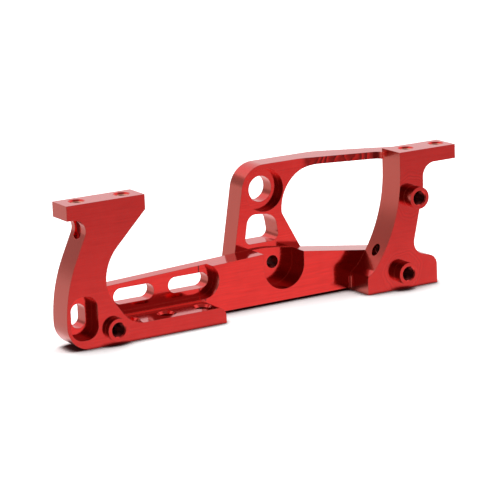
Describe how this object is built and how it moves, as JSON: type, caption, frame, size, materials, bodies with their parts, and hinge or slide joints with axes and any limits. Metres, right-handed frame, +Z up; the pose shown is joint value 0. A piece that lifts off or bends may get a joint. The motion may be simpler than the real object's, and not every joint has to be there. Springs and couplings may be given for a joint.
{
  "type": "motor mount",
  "caption": "Open motor mount machined from one block, with two feet, screw pads on top, a slotted rail and a bearing frame with a slanting top bar.",
  "frame": {"origin": "centre of the mount's length and depth, on the surface that its feet stand on", "axes": "+X along the mount's length towards the right upright, +Y from the front face to the bearing frame at the back, +Z up"},
  "size_m": [0.102, 0.0212, 0.032],
  "materials": {
    "anodised_aluminium": "bright red anodised, glossy, from a milled surface"
  },
  "bodies": {
    "root": {"motor_mount": "anodised_aluminium"}
  },
  "joints": []
}
